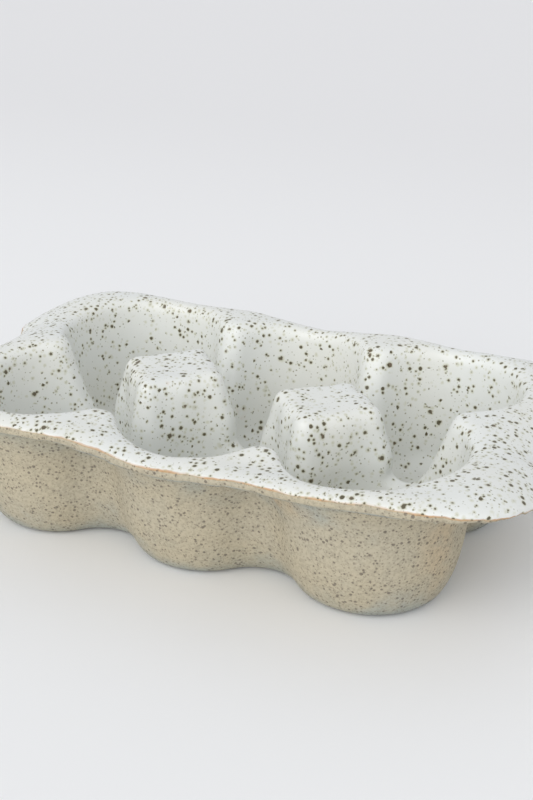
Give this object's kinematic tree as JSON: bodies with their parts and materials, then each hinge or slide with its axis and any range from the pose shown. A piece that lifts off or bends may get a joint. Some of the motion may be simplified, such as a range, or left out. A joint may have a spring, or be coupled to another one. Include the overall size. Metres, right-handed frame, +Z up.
{
  "type": "stoneware egg tray",
  "caption": "Speckled stoneware egg tray in the form of a moulded carton, with round cups, posts between them and a wavy rolled rim.",
  "frame": {"origin": "centre of the tray's foot, on the surface that it stands on", "axes": "+X along the long row of cups, +Y across the rows, +Z up"},
  "size_m": [0.1874, 0.112, 0.0426],
  "materials": {
    "glazed_stoneware": "satin-gloss off-white glaze with brown speckles inside and on the rim, bare matt speckled stoneware outside"
  },
  "bodies": {
    "root": {"egg_tray": "glazed_stoneware"}
  },
  "joints": []
}
